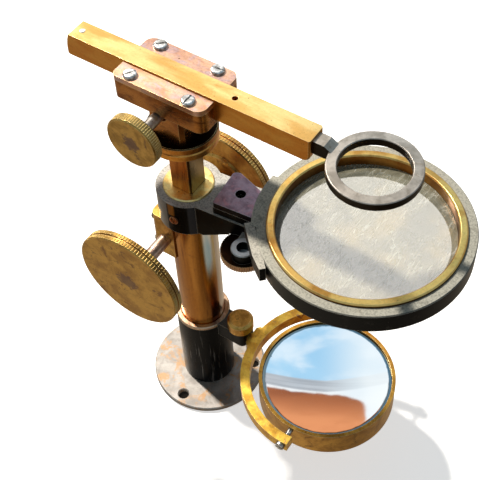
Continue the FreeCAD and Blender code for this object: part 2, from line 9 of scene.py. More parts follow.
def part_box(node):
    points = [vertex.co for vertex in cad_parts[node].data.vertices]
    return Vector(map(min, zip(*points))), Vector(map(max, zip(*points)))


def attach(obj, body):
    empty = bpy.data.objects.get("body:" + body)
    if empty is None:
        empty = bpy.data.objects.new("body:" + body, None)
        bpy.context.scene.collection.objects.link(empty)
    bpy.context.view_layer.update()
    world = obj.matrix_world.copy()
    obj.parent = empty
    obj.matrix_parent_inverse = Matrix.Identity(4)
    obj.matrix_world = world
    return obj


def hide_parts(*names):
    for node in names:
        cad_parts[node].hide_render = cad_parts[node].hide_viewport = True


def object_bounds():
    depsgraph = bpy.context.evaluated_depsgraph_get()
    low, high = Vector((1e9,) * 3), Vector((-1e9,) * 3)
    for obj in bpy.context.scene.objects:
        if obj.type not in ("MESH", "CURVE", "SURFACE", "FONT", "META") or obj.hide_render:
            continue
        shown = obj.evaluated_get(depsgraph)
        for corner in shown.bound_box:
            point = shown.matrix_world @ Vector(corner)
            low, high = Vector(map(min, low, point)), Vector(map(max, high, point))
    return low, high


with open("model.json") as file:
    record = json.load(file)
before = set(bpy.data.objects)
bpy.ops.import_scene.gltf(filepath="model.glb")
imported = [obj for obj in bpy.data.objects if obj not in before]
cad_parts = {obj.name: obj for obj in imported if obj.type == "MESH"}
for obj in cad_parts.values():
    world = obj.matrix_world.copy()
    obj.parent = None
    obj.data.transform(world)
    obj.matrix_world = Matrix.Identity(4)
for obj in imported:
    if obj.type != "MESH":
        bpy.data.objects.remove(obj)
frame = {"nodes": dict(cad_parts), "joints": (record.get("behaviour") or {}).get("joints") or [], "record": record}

cad_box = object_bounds()

# Lengths that end in _MM, and every pattern size below, are millimetres of the part's own frame.
MM = 0.001
COLLAR_R_MM = 12.2                  # outside of the collar
FLANGE_SHADE_MM = (23.2, 24.2)      # painted shade: the floor is dark under the flange, out to its rim
BOSS_RIM_MM = 4.8                   # reach of the bare metal round the small socket
GLASS_RIM_MM = (24.9, 25.5)         # where the mirror's ground edge begins and ends
HOLLOW_R_MM, GLASS_FLAT_MM = 180.0, 0.4     # the mirror's hollow face and the flat round it
DISH_STEPS, DISH_SPOKES = 24, 96

KEY_WAY = (-0.60, 0.12, 0.79)       # towards the key light
KEY_POWER, KEY_SIZE, KEY_DISTANCE = 14.0, 0.055, 1.0
KEY_COLOUR = (1.0, 0.95, 0.87)
SKY_STRENGTH = 0.62
SKY_BLUE, SKY_WHITE = (0.36, 0.56, 0.72, 1), (0.82, 0.85, 0.87, 1)
BENCH_LIT, BENCH_DARK = (0.80, 0.68, 0.52, 1), (0.13, 0.09, 0.06, 1)
HORIZON = (0.60, 0.57, 0.52, 1)
BACKDROP = (1.5, 1.49, 1.47, 1)     # what is seen straight past the object
SCATTERED = (0.34, 0.34, 0.34, 1)   # how much of the sky falls on dull surfaces
SHADOW_WAY = (0.966, -0.258, 0)     # towards the dark side of the bench
FLOOR_HALF, FLOOR_GAP, FLOOR_GLOW = 12.0, 0.0005, 0.62
CARD_HALF_MM, CARD_DISTANCE_MM, CARD_GLOW = 60, 194, 1.05
CARD_WAY, CARD_ASIDE = Vector((-0.246, 0.453, 0.857)), Vector((0.879, 0.477, 0))

CAMERA_AZIMUTH, CAMERA_ELEVATION, CAMERA_ROLL = 35.83, 51.45, -2.94     # degrees
CAMERA_TARGET, CAMERA_DISTANCE = Vector((0.03017, -0.00578, 0.11614)), 0.37204
CAMERA_LENS, CAMERA_SENSOR, CAMERA_NEAR = 75.58, 36.0, 0.01


def node_centre(name):
    """The middle of a CAD piece's box, in metres."""
    low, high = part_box(name)
    return (low + high) / 2


def joint_place(name):
    """Where a joint's axis stands, in metres."""
    return Vector(next(j["pos_m"] for j in frame["joints"] if j["name"] == name))


def mount_place(name):
    """Where a mount's axis stands, in metres."""
    return Vector(next(m["pos_m"] for m in frame["record"]["mounts"] if m["name"] == name))


PILLAR = Vector((0, 0, 0))
FOCUS_AXIS = joint_place("focus_turn")
ARM_AXIS = joint_place("arm_turn")
LENS = mount_place("lens_seat")
BOSS = mount_place("accessory_socket")
MIRROR = node_centre("mirror_glass")
CLAMP = node_centre("clamp_screw")


# ------------------------------------------------------------------ colours
def rgb(code):
    """A six-digit sRGB code as a linear colour."""
    parts = [int(code[i:i + 2], 16) / 255 for i in (0, 2, 4)]
    linear = [p / 12.92 if p <= 0.04045 else ((p + 0.055) / 1.055) ** 2.4 for p in parts]
    return tuple(linear) + (1.0,)


# ------------------------------------------------------------------ material kit
class Graph:
    """A node tree with short calls for the nodes used here."""

    def __init__(self, tree, space):
        self.tree = tree
        self.space = self.add("ShaderNodeTexCoord").outputs[space]

    def add(self, kind, **settings):
        node = self.tree.nodes.new(kind)
        for key, value in settings.items():
            setattr(node, key, value)
        return node

    def feed(self, socket, value):
        """Link a socket, or set it when the value is a plain number, vector or colour."""
        if isinstance(value, bpy.types.NodeSocket):
            self.tree.links.new(value, socket)
        else:
            socket.default_value = value

    def calc(self, operation, a, b=0.0, clamp=False):
        """One step of arithmetic; clamp keeps the result from 0 to 1."""
        node = self.add("ShaderNodeMath", operation=operation, use_clamp=clamp)
        self.feed(node.inputs[0], a)
        self.feed(node.inputs[1], b)
        return node.outputs[0]

    def noise(self, size, detail=3.0, rough=0.55, stretch=(1, 1, 1), seed=0.0, bend=0.0):
        """Noise with features about size millimetres across, longer along a stretched axis. The seed
        moves the pattern to another place of the same noise."""
        place = self.add("ShaderNodeMapping")
        self.feed(place.inputs["Vector"], self.space)
        place.inputs["Location"].default_value = (seed * 7.3 % 61, seed * 3.1 % 53, seed * 5.7 % 47)
        place.inputs["Scale"].default_value = tuple(1 / (MM * size * s) for s in stretch)
        node = self.add("ShaderNodeTexNoise")
        self.feed(node.inputs["Vector"], place.outputs[0])
        node.inputs["Scale"].default_value = 1.0
        node.inputs["Detail"].default_value = detail
        node.inputs["Roughness"].default_value = rough
        node.inputs["Distortion"].default_value = bend
        return node.outputs["Fac"]

    def cells(self, size, seed=0.0):
        """Distance to scattered points about size millimetres apart."""
        place = self.add("ShaderNodeMapping")
        self.feed(place.inputs["Vector"], self.space)
        place.inputs["Location"].default_value = (seed * 4.7, seed * 2.9, seed * 6.1)
        place.inputs["Scale"].default_value = (1 / (MM * size),) * 3
        node = self.add("ShaderNodeTexVoronoi")
        self.feed(node.inputs["Vector"], place.outputs[0])
        node.inputs["Scale"].default_value = 1.0
        return node.outputs["Distance"]

    def level(self, value, low, high):
        """0 below low, 1 above high, smooth between; low may be the larger."""
        node = self.add("ShaderNodeMapRange", interpolation_type="SMOOTHSTEP")
        self.feed(node.inputs["Value"], value)
        if low <= high:
            node.inputs["From Min"].default_value = low
            node.inputs["From Max"].default_value = high
            return node.outputs[0]
        node.inputs["From Min"].default_value = high
        node.inputs["From Max"].default_value = low
        return self.calc("SUBTRACT", 1.0, node.outputs[0])

    def span(self, value, low, high):
        """Spread a 0 to 1 value over low to high."""
        node = self.add("ShaderNodeMapRange")
        self.feed(node.inputs["Value"], value)
        node.inputs["To Min"].default_value = low
        node.inputs["To Max"].default_value = high
        return node.outputs[0]

    def mix(self, fac, a, b, blend="MIX"):
        """Colour a where fac is 0 and b where it is 1."""
        node = self.add("ShaderNodeMix", data_type="RGBA", blend_type=blend)
        self.feed(node.inputs["Factor"], fac)
        colour_a, colour_b, colour_out = 6, 7, 2    # the node has one set of sockets for each data type
        self.feed(node.inputs[colour_a], a)
        self.feed(node.inputs[colour_b], b)
        return node.outputs[colour_out]


class Finish(Graph):
    """One procedural material. Its pattern sizes are millimetres in the part's own frame."""

    def __init__(self, name, metallic=1.0):
        self.mat = bpy.data.materials.new(name)
        self.mat.use_nodes = True
        super().__init__(self.mat.node_tree, "Object")
        self.bsdf = self.tree.nodes["Principled BSDF"]
        self.set("Metallic", metallic)
        self.geometry = self.add("ShaderNodeNewGeometry")

    def set(self, socket, value):
        """Set one of the surface's own sockets to a constant."""
        self.bsdf.inputs[socket].default_value = value

    def facing(self, axis, low, high):
        """1 where the surface's own normal points along axis, 0 where it doesn't."""
        node = self.add("ShaderNodeVectorMath", operation="DOT_PRODUCT")
        to_object = self.add("ShaderNodeVectorTransform", vector_type="NORMAL",
                             convert_from="WORLD", convert_to="OBJECT")
        self.feed(to_object.inputs[0], self.geometry.outputs["Normal"])
        self.feed(node.inputs[0], to_object.outputs[0])
        node.inputs[1].default_value = axis
        return self.level(node.outputs["Value"], low, high)

    def edges(self, radius, low=0.997, high=0.93):
        """1 on the sharp edges, fading over about radius millimetres."""
        node = self.add("ShaderNodeBevel", samples=4)
        node.inputs["Radius"].default_value = radius * MM
        dot = self.add("ShaderNodeVectorMath", operation="DOT_PRODUCT")
        self.feed(dot.inputs[0], node.outputs[0])
        self.feed(dot.inputs[1], self.geometry.outputs["Normal"])
        return self.level(dot.outputs["Value"], low, high)

    def scaled_distance(self, centre, scale):
        """Distance from centre, each axis first multiplied by its own scale."""
        shift = self.add("ShaderNodeVectorMath", operation="SUBTRACT")
        self.feed(shift.inputs[0], self.space)
        shift.inputs[1].default_value = tuple(centre)
        scaled = self.add("ShaderNodeVectorMath", operation="MULTIPLY")
        self.feed(scaled.inputs[0], shift.outputs[0])
        scaled.inputs[1].default_value = tuple(scale)
        length = self.add("ShaderNodeVectorMath", operation="LENGTH")
        self.feed(length.inputs[0], scaled.outputs[0])
        return length.outputs["Value"]

    def radius_from(self, centre, axis):
        """Distance in millimetres from a line through centre along X, Y or Z."""
        return self.scaled_distance(centre, [0.0 if k == axis else 1.0 / MM for k in "XYZ"])

    def blot_reach(self, centre, radii):
        """How far out a point is in an ellipsoid of those radii in millimetres: 1 on its surface."""
        return self.scaled_distance(centre, [1 / (MM * r) for r in radii])

    def strip(self, start, end, fade=2.0):
        """1 between two bearings round the pillar, in degrees from +X towards +Y."""
        split = self.add("ShaderNodeSeparateXYZ")
        self.feed(split.inputs[0], self.space)
        turn = self.calc("MULTIPLY", self.calc("ARCTAN2", split.outputs["Y"], split.outputs["X"]),
                         180 / math.pi)
        return self.calc("MULTIPLY", self.level(turn, start - fade, start + fade),
                         self.level(turn, end + fade, end - fade))

    def height_level(self, low, high):
        """0 below the height low in millimetres, 1 above high; low may be the larger."""
        split = self.add("ShaderNodeSeparateXYZ")
        self.feed(split.inputs[0], self.space)
        return self.level(self.calc("MULTIPLY", split.outputs["Z"], 1 / MM), low, high)

    def rings(self, centre, axis, pitch, seed=0.0):
        """Uneven turning marks, pitch millimetres apart, round a line."""
        r = self.radius_from(centre, axis)
        node = self.add("ShaderNodeTexNoise", noise_dimensions="1D")
        self.feed(node.inputs["W"], self.calc("ADD", r, seed * 11.3))
        node.inputs["Scale"].default_value = 1.0 / pitch
        node.inputs["Detail"].default_value = 2.0
        return node.outputs["Fac"]

    def finish(self, colour, roughness, height=None, depth=0.02, soften=0.18):
        """Connect colour, roughness and relief; depth and soften are millimetres."""
        self.feed(self.bsdf.inputs["Base Color"], colour)
        self.feed(self.bsdf.inputs["Roughness"], roughness)
        bevel = self.add("ShaderNodeBevel", samples=4)
        bevel.inputs["Radius"].default_value = soften * MM
        normal = bevel.outputs[0]
        if height is not None:
            bump = self.add("ShaderNodeBump")
            bump.inputs["Strength"].default_value = 1.0
            bump.inputs["Distance"].default_value = depth * MM
            self.feed(bump.inputs["Height"], height)
            self.feed(bump.inputs["Normal"], normal)
            normal = bump.outputs[0]
        self.feed(self.bsdf.inputs["Normal"], normal)
        return self.mat


# ------------------------------------------------------------------ metals
def stained_metal(name, light, mid, stain, patch=7.0, seed=0.0, rough=(0.24, 0.46), stretch=(1, 1, 1),
                  spots=0.5, spot_colour="3a2418", turned=None, edge="f6dca0", edge_amount=0.55,
                  side_shade_tint=None, top_tint=None, marks=0.0, mark_colour="5a4440", blot=None,
                  cover=(0.56, 0.70), grime=0.22, painted_light_strips=(), metallic=1.0):
    """Old bare metal: cloudy tone, stains, freckles, brown marks, tool marks, rubbed edges and painted shade.

    turned is (centre, axis) for a piece made on a lathe. blot is (centre, three radii in mm, colour):
    one larger stain at a known place. A strip is (from, to, low, high, colour): painted shade or a
    painted reflection between two bearings round the pillar that grows between two heights. cover is
    the pair of noise levels between which a stain sets in."""
    turning_pitch, relief = 0.35, 0.012         # millimetres
    f = Finish(name, metallic)
    cloud = f.noise(patch, detail=5, rough=0.6, stretch=stretch, seed=seed, bend=0.4)
    colour = f.mix(f.level(cloud, 0.36, 0.62), rgb(mid), rgb(light))
    blotch = f.noise(patch * 0.8, detail=6, rough=0.66, stretch=stretch, seed=seed + 3, bend=0.8)
    stained = f.level(blotch, *cover)
    colour = f.mix(f.calc("MULTIPLY", stained, 0.8), colour, rgb(stain))
    fine = f.noise(0.9, detail=5, rough=0.7, seed=seed + 5)
    colour = f.mix(f.calc("MULTIPLY", f.level(fine, 0.40, 0.75), grime), colour, rgb(spot_colour))
    speck = f.level(f.cells(3.1, seed + 1), 0.13, 0.04)
    pinprick = f.level(f.cells(1.1, seed + 2), 0.16, 0.05)
    gate = f.level(f.noise(8.0, seed=seed + 7), 0.46, 0.58)
    speck = f.calc("MAXIMUM", speck, f.calc("MULTIPLY", pinprick, 0.7))
    spot = f.calc("MULTIPLY", f.calc("MULTIPLY", speck, gate), spots)
    colour = f.mix(spot, colour, rgb(spot_colour))
    ragged = f.noise(2.6, detail=5, rough=0.62, seed=seed + 13, bend=0.6)
    worn = spot
    if marks:
        mark = f.calc("MULTIPLY", f.level(ragged, 0.62, 0.66), marks)
        colour = f.mix(mark, colour, rgb(mark_colour))
        worn = f.calc("MAXIMUM", worn, mark)
    if blot:
        reach = f.blot_reach(blot[0], blot[1])
        inside = f.level(f.calc("ADD", reach, f.calc("MULTIPLY", ragged, 2.2)), 2.15, 1.75)
        colour = f.mix(f.calc("MULTIPLY", inside, 0.7), colour, rgb(blot[2]))
    # painted light: strips of painted shade and painted reflection between bearings round the pillar
    for start, end, low, high, tint in painted_light_strips:
        painted_light_here = f.calc("MULTIPLY", f.strip(start, end, 4.0), f.height_level(low, high))
        colour = f.mix(f.calc("MULTIPLY", painted_light_here, 0.85), colour, rgb(tint))
    # painted shade: the side colour darkens faces that don't look up; on the upper disc the top colour darkens its
    # top under the head block
    if side_shade_tint or top_tint:
        top = f.facing((0, 0, 1), 0.35, 0.75)
        colour = f.mix(1.0, colour, f.mix(top, rgb(side_shade_tint or "ffffff"), rgb(top_tint or "ffffff")),
                       "MULTIPLY")
    colour = f.mix(f.calc("MULTIPLY", f.edges(0.35), edge_amount), colour, rgb(edge))
    if turned:
        tool_marks = f.rings(turned[0], turned[1], turning_pitch, seed)
    else:
        drawn = tuple(s * 12 if s > 1 else 1.0 for s in stretch)
        tool_marks = f.noise(0.5, detail=2, stretch=drawn, seed=seed + 9)
    scratch = f.noise(0.35, detail=2, stretch=(9, 1, 9), seed=seed + 11)
    height = f.calc("ADD", f.calc("MULTIPLY", tool_marks, 0.7), f.calc("MULTIPLY", scratch, 0.3))
    height = f.calc("SUBTRACT", height, f.calc("MULTIPLY", worn, 0.8))
    wear = f.calc("ADD", f.calc("MULTIPLY", cloud, 0.5), f.calc("MULTIPLY", tool_marks, 0.4))
    wear = f.calc("ADD", wear, f.calc("MULTIPLY", stained, 0.25))
    wear = f.calc("ADD", wear, f.calc("MULTIPLY", worn, 0.4), clamp=True)
    return f.finish(colour, f.span(wear, rough[0], rough[1]), height, relief)


def lacquered_metal(name, top, side, rubbed, seed=0.0, wear=0.5, streaks=(1, 1, 1), rough=(0.2, 0.42),
                    bare=None, side_wear_and_sheen=0.3, painted_light_strips=()):
    """Black lacquer on metal, rubbed grey and painted light where it faces up, rubbed and painted highlight along
    its edges.

    side_wear_and_sheen is how much of the rubbing, on the sides also painted sheen, reaches faces that
    don't look up. bare is (centre, radius in mm): a top ring that is bare metal. A strip is (from, to,
    low, colour): painted light or a painted reflection on the collar's side between two bearings round
    the pillar, above the height low in mm."""
    sheen, bare_sheen = 0.12, 0.6
    f = Finish(name, metallic=sheen)
    f.set("Specular IOR Level", 0.08)
    cloud = f.noise(5.0, detail=6, rough=0.65, stretch=streaks, seed=seed, bend=0.3)
    fine = f.noise(0.7, detail=4, rough=0.7, seed=seed + 2)
    up = f.facing((0, 0, 1), 0.55, 0.9)
    # the grey of the upward faces is partly rubbed lacquer and partly painted light of the lit tops
    worn = f.calc("MULTIPLY", up, f.span(cloud, 0.8, 1.2), clamp=True)
    colour = f.mix(worn, rgb(side), rgb(top))
    grain = f.calc("MULTIPLY", f.level(fine, 0.42, 0.66), 0.45)
    colour = f.mix(grain, colour, rgb(side))
    # rubbed patches; where they reach the sides they are also painted sheen streaks
    scuffed = f.calc("MULTIPLY", f.span(up, side_wear_and_sheen, 1.0), wear)
    scuff = f.calc("MULTIPLY", f.level(cloud, 0.56, 0.70), scuffed, clamp=True)
    colour = f.mix(scuff, colour, rgb(rubbed))
    side_face = f.calc("SUBTRACT", 1.0, up)
    # painted light on the collar's side: a lit band towards the key and painted reflections
    for start, end, low, tint in painted_light_strips:
        collar = f.level(f.radius_from(PILLAR, "Z"), COLLAR_R_MM + 0.2, COLLAR_R_MM + 0.05)
        near = f.calc("MULTIPLY", collar, f.height_level(low, low + 1.0))
        here = f.calc("MULTIPLY", f.calc("MULTIPLY", f.strip(start, end), near), side_face)
        colour = f.mix(here, colour, rgb(tint))
    nick = f.calc("MULTIPLY", f.level(f.noise(0.8, detail=3, seed=seed + 4), 0.70, 0.75), wear)
    colour = f.mix(nick, colour, rgb("8c8678"))
    # bright edges: partly rubbed lacquer, partly a painted highlight
    colour = f.mix(f.edges(0.45, 0.996, 0.92), colour, rgb("c9c4b6"))
    roughness = f.span(f.calc("ADD", f.calc("MULTIPLY", cloud, 0.6), f.calc("MULTIPLY", fine, 0.4)),
                       rough[0], rough[1])
    roughness = f.calc("ADD", roughness, f.calc("MULTIPLY", up, 0.14))
    if bare:
        ring = f.calc("MULTIPLY", f.level(f.radius_from(bare[0], "Z"), bare[1], bare[1] - 0.3), up)
        colour = f.mix(ring, colour, rgb("f4f7f8"))
        f.feed(f.bsdf.inputs["Metallic"], f.span(ring, sheen, bare_sheen))
    height = f.calc("ADD", f.calc("MULTIPLY", cloud, 0.5), f.calc("MULTIPLY", fine, 0.5))
    return f.finish(colour, roughness, height, 0.02)


def screw_steel(name, seed):
    """Dull steel with brown spots."""
    f = Finish(name)
    cloud = f.noise(1.6, detail=4, seed=seed)
    colour = f.mix(f.level(cloud, 0.4, 0.65), rgb("a9a6a2"), rgb("ecebe9"))
    colour = f.mix(f.calc("MULTIPLY", f.level(f.noise(0.5, seed=seed + 1), 0.58, 0.68), 0.6), colour,
                   rgb("5b4a3c"))
    return f.finish(colour, f.span(cloud, 0.26, 0.5), f.noise(0.3, seed=seed + 2), 0.01, 0.12)


def stage_glass():
    """Clear plate with dried wipe marks, a yellow cast in places and fine scratches."""
    f = Finish("stage_glass_clear", metallic=0.0)
    smear = f.noise(9.0, detail=5, rough=0.6, stretch=(1, 1.8, 1), seed=4, bend=1.4)
    vein = f.noise(4.0, detail=4, rough=0.55, stretch=(0.7, 3.2, 1), seed=8, bend=0.5)
    ridge = f.calc("ABSOLUTE", f.calc("SUBTRACT", vein, 0.5))
    haze = f.calc("MULTIPLY", f.level(ridge, 0.022, 0.0), f.level(smear, 0.36, 0.56))
    colour = f.mix(f.level(smear, 0.36, 0.64), rgb("86816c"), rgb("aaa48c"))
    patch = f.level(f.noise(16.0, detail=3, seed=2), 0.52, 0.68)
    colour = f.mix(f.calc("MULTIPLY", patch, 0.45), colour, rgb("c9b27c"))
    colour = f.mix(f.calc("MULTIPLY", haze, 0.75), colour, rgb("ecebe0"))
    cover = f.calc("ADD", f.calc("MULTIPLY", smear, 0.5), f.calc("MULTIPLY", haze, 0.4), clamp=True)
    f.feed(f.bsdf.inputs["Alpha"], f.span(cover, 0.40, 0.70))
    f.set("IOR", 1.5)
    return f.finish(colour, f.span(smear, 0.04, 0.22), smear, 0.004, 0.1)


def mirror_silver():
    """Bright silvering, a few specks, and the ground glass edge as a darker ring."""
    f = Finish("mirror_silver")
    tint = f.level(f.noise(30.0, detail=2, seed=6), 0.35, 0.65)
    colour = f.mix(tint, rgb("eef4f8"), rgb("fcfdfd"))
    speck = f.level(f.cells(9.0, 3.0), 0.05, 0.025)
    colour = f.mix(f.calc("MULTIPLY", speck, 0.7), colour, rgb("3d4a58"))
    r = f.radius_from(MIRROR, "Z")
    rim = f.level(f.calc("ADD", r, f.noise(3.0, seed=2)), *GLASS_RIM_MM)
    colour = f.mix(f.calc("MULTIPLY", rim, 0.85), colour, rgb("2f5560"))
    roughness = f.span(f.noise(6.0, seed=5), 0.01, 0.03)
    return f.finish(colour, roughness, f.noise(12.0, seed=9), 0.0004, 0.05)


def build_materials():
    """One material for each CAD piece, under the piece's name."""
    small_face = ARM_AXIS + Vector((0, -24.6 * MM, 0))      # the front faces of the two front knobs
    large_face = FOCUS_AXIS + Vector((0, -32.8 * MM, 0))
    return {
        "base_flange": stained_metal("flange_metal", "b3aca5", "918a83", "c0905a", 8, 1, (0.34, 0.55),
                                     metallic=0.35, spot_colour="6a655f", edge="efe9df",
                                     cover=(0.50, 0.62)),
        # painted sheen: the grey streaks on the socket's sides are painted highlights as well as rubbing
        "pillar_socket": lacquered_metal("socket_lacquer", "8d8a86", "0b0b0c", "a3a09c", 2, 0.8,
                                         (0.4, 0.4, 5), (0.18, 0.42), side_wear_and_sheen=1.1),
        "socket_rim": stained_metal("socket_rim_brass", "dcbca0", "b08c72", "6b4c3a", 4, 3),
        "pillar_tube": stained_metal("pillar_brass", "cb8c40", "b0722c", "8a4e22", 6, 4, (0.16, 0.32),
                                     (0.6, 0.6, 9), turned=(PILLAR, "Z"), spots=0.4, marks=0.3,
                                     # painted reflections: pale bands and a dark red-brown streak down the
                                     # pillar's sides
                                     painted_light_strips=((-32, 40, 72, 86, "ffe8c8"), (-30, -6, 74, 64, "7a3a24"),
                                             (0, 40, 0, 1, "cfc2b4"))),
        "pillar_cap": stained_metal("cap_bronze", "ffe49a", "f0c270", "a87444", 4, 5),
        "lower_guide": stained_metal("guide_brass", "c9a05a", "a67c3c", "6b4a24", 4, 6),
        "pinion_housing": stained_metal("housing_brass", "d8ac58", "b08238", "6a4820", 6, 7, marks=0.4),
        "housing_screws": screw_steel("housing_screw_steel", 1),
        "collar_arm": lacquered_metal("arm_lacquer", "d2cec5", "0a0a08", "5f5b56", 8,
                                      bare=(BOSS, BOSS_RIM_MM),
                                      # painted light: the side towards the key lighter, and a gold and a grey
                                      # painted reflection
                                      painted_light_strips=((-178, -97, 0, "9a9896"), (-94, -82, 117.0, "c08038"),
                                              (-58, -44, 0, "4c4c50"))),
        "collar_screw": stained_metal("collar_screw_copper", "c07a52", "94552f", "5a2f1a", 1.5, 2),
        "socket_nut": stained_metal("nut_brass", "cc9c80", "a87e64", "6b4a38", 4, 9, rough=(0.3, 0.5),
                                    top_tint="5c544c"),
        "stage_ring": lacquered_metal("ring_lacquer", "bebaab", "1c1c1b", "7e7a6e", 10, 0.7),
        "stage_tail": stained_metal("tail_bronze", "84727e", "66545f", "946f7a", 4.0, 11, (0.3, 0.5),
                                    side_shade_tint="3c3a3c", edge="b4b6ba", edge_amount=0.7,
                                    cover=(0.52, 0.66)),
        "stage_side_bar": lacquered_metal("side_bar_lacquer", "c8c2b4", "0c0c0d", "7a756c", 12),
        "stage_inner_ring": stained_metal("inner_ring_brass", "ffd57c", "e4a954", "b98446", 8, 13,
                                          (0.22, 0.4), spots=0.4, cover=(0.60, 0.74),
                                          side_shade_tint="a08c7c"),
        "stage_glass": stage_glass(),
        "focus_bar": stained_metal("focus_bar_bronze", "d8924a", "b87436", "6c3e1c", 5, 14, (0.2, 0.4),
                                   (0.5, 0.5, 6), grime=0.2, spots=0.3,
                                   # painted shade: the face towards +X darker, and a dark line down its front
                                   # corner
                                   painted_light_strips=((-45, 45, 0, 1, "6f5e30"), (-50, -41, 0, 1, "1c1610"))),
        "lower_disc": stained_metal("lower_disc_bronze", "f4b052", "d08a36", "8a5422", 5, 15,
                                    turned=(PILLAR, "Z")),
        "swivel_stud": screw_steel("stud_steel", 3),
        "upper_disc": stained_metal("upper_disc_bronze", "e09c46", "b8742e", "70421c", 5, 16,
                                    # painted shade: the disc's top darkened where it lies under the head block
                                    turned=(PILLAR, "Z"), top_tint="1c1c18"),
        "head_block": stained_metal("head_bronze", "b4783a", "8a5022", "542b12", 7, 17, (0.16, 0.36),
                                    (2, 1, 1), cover=(0.50, 0.68), marks=0.25, mark_colour="3a1e10"),
        "front_rail": stained_metal("front_rail_bronze", "e4b592", "cf9a78", "b39ca2", 5.0, 18,
                                    (0.3, 0.5), (2, 1, 1), cover=(0.44, 0.68), grime=0.3, spots=0.8),
        "back_rail": stained_metal("back_rail_bronze", "d9ab8c", "c0907a", "a3939c", 5.0, 19,
                                   (0.3, 0.5), (2, 1, 1), cover=(0.40, 0.64), grime=0.35, spots=0.9),
        "rail_screws": screw_steel("rail_screw_steel", 4),
        "lens_bar": stained_metal("lens_bar_brass", "ffdb92", "f0b868", "dd8c48", 8, 20, (0.24, 0.42),
                                  (3, 1, 1), spots=0.8, cover=(0.56, 0.74), grime=0.15,
                                  # painted shade: the bar's sides darker than its lit top
                                  side_shade_tint="cfae78"),
        "stop_pin": screw_steel("stop_pin_steel", 5),
        "lens_holder": stained_metal("lens_ring_steel", "c3b6a8", "a29587", "857767", 6, 21,
                                     (0.34, 0.55), side_shade_tint="3a342e", spot_colour="3a3634",
                                     turned=(LENS, "Z"), edge="c9c6c4", edge_amount=0.35),
        "arm_pinion": stained_metal("arm_shaft_steel", "e4dfda", "bdb5ac", "8d7a68", 3, 22),
        "arm_knob": stained_metal("arm_knob_brass", "c8a054", "a07c3a", "5f4a3e", 5, 23, marks=0.3,
                                  turned=(ARM_AXIS, "Y"), blot=(small_face, (3.4, 3, 3.9), "53424c")),
        "focus_pinion": stained_metal("focus_shaft_bronze", "f2d8c6", "d6b098", "8e6450", 3, 24),
        "focus_knob_front": stained_metal("front_knob_brass", "d2a650", "ac8038", "86603a", 7, 25,
                                          turned=(FOCUS_AXIS, "Y"), marks=0.6,
                                          blot=(large_face, (5.0, 3, 4.2), "5d4648")),
        "focus_knob_back": stained_metal("back_knob_brass", "dcaa54", "bb843a", "805226", 6, 26,
                                         turned=(FOCUS_AXIS, "Y"), marks=0.3),
        "mirror_bracket": lacquered_metal("bracket_lacquer", "6f6b66", "0b0b0c", "4d4a46", 27),
        "clamp_screw": stained_metal("clamp_brass", "e0ac58", "b48640", "4a3318", 3, 28,
                                     turned=(CLAMP, "Z"), edge="ffe9a8"),
        "mirror_fork": stained_metal("fork_brass", "ffd35c", "d8a040", "8a5f5c", 5, 29,
                                     cover=(0.60, 0.66), marks=0.4, mark_colour="8a6060"),
        "pivot_screws": screw_steel("pivot_screw_steel", 6),
        "mirror_cell": stained_metal("cell_brass", "e0ac4e", "b68434", "6b481c", 7, 30,
                                     turned=(MIRROR, "Z"), edge="f6e2b0", marks=0.25),
        "mirror_glass": mirror_silver(),
    }


# ------------------------------------------------------------------ pieces of finer shape
def lathe(name, outline, centre, spokes, material):
    """A smooth solid of revolution about a vertical line; its outline of (radius, height) starts and
    ends on that line."""
    rings = []
    points = []
    for r, z in outline:
        ring = []
        for k in range(spokes if r > 0 else 1):
            turn = 2 * math.pi * k / spokes
            ring.append(len(points))
            points.append((centre.x + r * math.cos(turn), centre.y + r * math.sin(turn), z))
        rings.append(ring)
    faces = []
    for lower, upper in zip(rings, rings[1:]):
        for k in range(spokes):
            corners = (lower[k % len(lower)], lower[(k + 1) % len(lower)],
                       upper[(k + 1) % len(upper)], upper[k % len(upper)])
            faces.append(tuple(dict.fromkeys(corners)))
    mesh = bpy.data.meshes.new(name)
    mesh.from_pydata(points, [], faces)
    mesh.materials.append(material)
    mesh.shade_smooth()
    mesh.set_sharp_from_angle(angle=math.radians(30))
    piece = bpy.data.objects.new(name, mesh)
    bpy.context.collection.objects.link(piece)
    return piece


def hollow_mirror(material):
    """The silvered dish again, with a finer face for its reflections and inside the same box."""
    low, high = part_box("mirror_glass")
    rim = (high.x - low.x) / 2
    hollow, flat = HOLLOW_R_MM * MM, GLASS_FLAT_MM * MM
    centre_z = high.z + math.sqrt(hollow ** 2 - (rim - flat) ** 2)
    outline = [(0.0, low.z), (rim, low.z), (rim, high.z)]
    for k in range(DISH_STEPS, -1, -1):
        r = (rim - flat) * k / DISH_STEPS
        outline.append((r, centre_z - math.sqrt(hollow ** 2 - r ** 2)))
    dish = lathe("mirror_dish", outline, MIRROR, DISH_SPOKES, material)
    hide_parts("mirror_glass")
    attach(dish, "mirror")


def dress_nodes():
    """Give every CAD piece its material, and the mirror its finer dish."""
    materials = build_materials()
    hollow_mirror(materials["mirror_glass"])
    for name, material in materials.items():
        piece = frame["nodes"][name]
        for slot in piece.material_slots:
            slot.material = material


